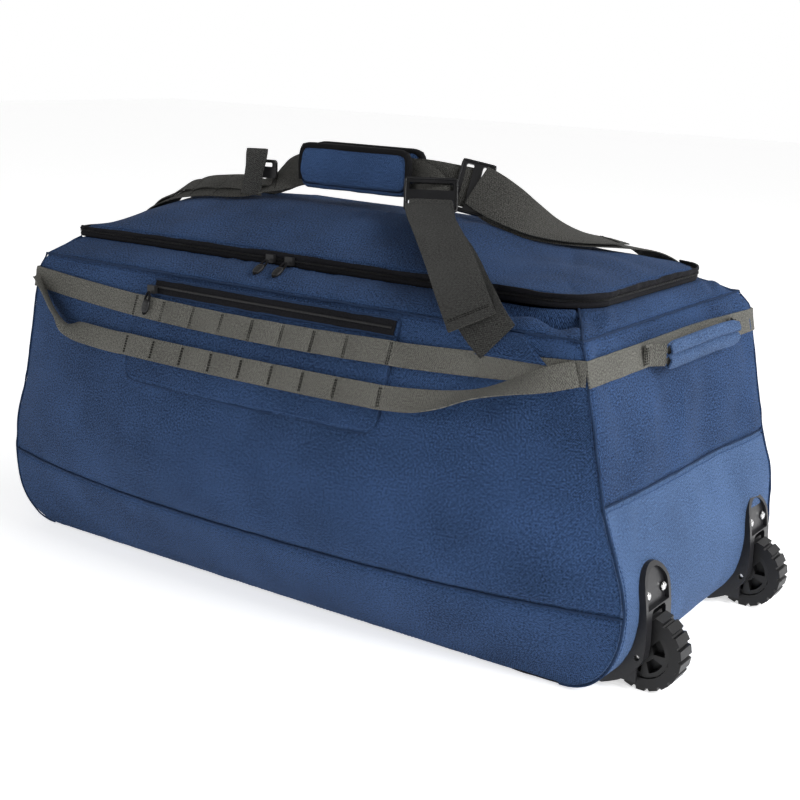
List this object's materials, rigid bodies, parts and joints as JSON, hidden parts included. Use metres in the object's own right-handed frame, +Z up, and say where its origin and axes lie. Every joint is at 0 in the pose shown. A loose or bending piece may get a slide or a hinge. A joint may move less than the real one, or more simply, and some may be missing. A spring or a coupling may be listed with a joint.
{
  "type": "rolling duffel bag",
  "caption": "Soft rolling duffel bag with a zipped domed lid, webbing rows, padded handles, backpack straps and moulded corner wheels.",
  "frame": {"origin": "centre of the box around the bag, on the ground under the wheels and skid rails", "axes": "+X along the bag towards the wheels, -Y is the front with the pocket, +Z up"},
  "size_m": [0.9028, 0.513, 0.49],
  "materials": {
    "body_fabric": "matte blue coated polyester weave",
    "pad_fabric": "matte blue coated polyester weave over thin foam",
    "grey_webbing": "woven grey polyester webbing",
    "black_tape": "black woven zip tape",
    "black_plastic": "black moulded nylon",
    "black_rubber": "black rubber",
    "steel": "nickel plated steel",
    "board": "black polyethylene sheet"
  },
  "bodies": {
    "bag": {"front_panel": "body_fabric", "back_panel": "body_fabric", "front_base": "body_fabric", "back_base": "body_fabric", "base_floor": "body_fabric", "wheel_end_panel": "body_fabric", "far_end_panel": "body_fabric", "collar_front": "body_fabric", "collar_back": "body_fabric", "collar_wheel_end": "body_fabric", "collar_far_end": "body_fabric", "pocket_panel": "body_fabric", "anchor_tab_front": "body_fabric", "anchor_tab_rear": "body_fabric", "wheel_end_pad": "pad_fabric", "webbing_upper_row": "grey_webbing", "webbing_lower_row": "grey_webbing", "webbing_belt": "grey_webbing", "lower_webbing_front": "grey_webbing", "lower_webbing_rear": "grey_webbing", "opening_zip_tape": "black_tape", "lid_hinge_seam": "black_tape", "pocket_zip_tape": "black_tape", "skid_rail_front": "black_plastic", "skid_rail_rear": "black_plastic", "wheel_housing_front": "black_plastic", "wheel_housing_rear": "black_plastic", "housing_backplate_front": "steel", "housing_backplate_rear": "steel", "axle_front": "steel", "axle_rear": "steel", "base_board": "board", "wheel_end_stiffener": "board"},
    "lid": {"lid_panel": "body_fabric", "lid_zip_tape": "black_tape", "shoulder_strap_front": "grey_webbing", "shoulder_strap_rear": "grey_webbing", "handle_wrap_rear": "pad_fabric", "adjuster_front": "black_plastic", "adjuster_rear": "black_plastic", "strap_tail_front": "grey_webbing", "strap_tail_rear": "grey_webbing"},
    "handle_wrap_flap": {"handle_wrap_front": "pad_fabric"},
    "sternum_loop": {"sternum_strap": "grey_webbing", "sternum_buckle": "black_plastic"},
    "wheel_front": {"tyre_front": "black_rubber", "wheel_hub_front": "black_plastic"},
    "wheel_rear": {"tyre_rear": "black_rubber", "wheel_hub_rear": "black_plastic"},
    "slider_left": {"lid_slider_left": "black_plastic"},
    "puller_left": {"lid_puller_left": "black_plastic"},
    "slider_right": {"lid_slider_right": "black_plastic"},
    "puller_right": {"lid_puller_right": "black_plastic"},
    "slider_pocket": {"pocket_slider": "black_plastic"},
    "puller_pocket": {"pocket_puller": "black_plastic"},
    "haul_handle": {"haul_handle_webbing": "grey_webbing", "haul_handle_sleeve": "pad_fabric"},
    "far_handle": {"far_handle_webbing": "grey_webbing", "far_handle_sleeve": "pad_fabric"}
  },
  "joints": [
    {"name": "lid_open", "type": "hinge", "parent": "bag", "child": "lid", "pos_m": [-0.0215, 0.152, 0.3805], "axis": [-1, 0, 0], "range_deg": [0, 75], "deforming": ["lower_webbing_front", "lower_webbing_rear"]},
    {"name": "handle_wrap_open", "type": "hinge", "parent": "lid", "child": "handle_wrap_flap", "pos_m": [-0.0495, -0.031, 0.44665], "axis": [1, 0, 0], "range_deg": [0, 110]},
    {"name": "sternum_strap_fold", "type": "hinge", "parent": "lid", "child": "sternum_loop", "pos_m": [-0.1975, -0.058, 0.4282], "axis": [1, 0, 0], "range_deg": [0, 75]},
    {"name": "wheel_front_spin", "type": "hinge", "parent": "bag", "child": "wheel_front", "pos_m": [0.4115, -0.137, 0.04], "axis": [0, 1, 0], "continuous": true},
    {"name": "wheel_rear_spin", "type": "hinge", "parent": "bag", "child": "wheel_rear", "pos_m": [0.4115, 0.137, 0.04], "axis": [0, 1, 0], "continuous": true},
    {"name": "lid_slider_left_slide", "type": "slide", "parent": "bag", "child": "slider_left", "axis": [-1, 0, 0], "range_m": [0, 0.28]},
    {"name": "lid_puller_left_swing", "type": "hinge", "parent": "slider_left", "child": "puller_left", "pos_m": [-0.0635, -0.1616, 0.375], "axis": [-1, 0, 0], "range_deg": [0, 110]},
    {"name": "lid_slider_right_slide", "type": "slide", "parent": "bag", "child": "slider_right", "axis": [1, 0, 0], "range_m": [0, 0.33]},
    {"name": "lid_puller_right_swing", "type": "hinge", "parent": "slider_right", "child": "puller_right", "pos_m": [-0.0365, -0.1616, 0.375], "axis": [-1, 0, 0], "range_deg": [0, 110]},
    {"name": "pocket_slider_slide", "type": "slide", "parent": "bag", "child": "slider_pocket", "axis": [1, 0, 0], "range_m": [0, 0.315]},
    {"name": "pocket_puller_swing", "type": "hinge", "parent": "slider_pocket", "child": "puller_pocket", "pos_m": [-0.1865, -0.2214, 0.332], "axis": [-1, 0, 0], "range_deg": [0, 130]},
    {"name": "haul_handle_lift", "type": "hinge", "parent": "bag", "child": "haul_handle", "pos_m": [0.3548, 0.025, 0.3315], "axis": [0, -1, 0], "range_deg": [0, 50]},
    {"name": "far_handle_lift", "type": "hinge", "parent": "bag", "child": "far_handle", "pos_m": [-0.3978, 0.025, 0.3315], "axis": [0, 1, 0], "range_deg": [0, 50]}
  ]
}
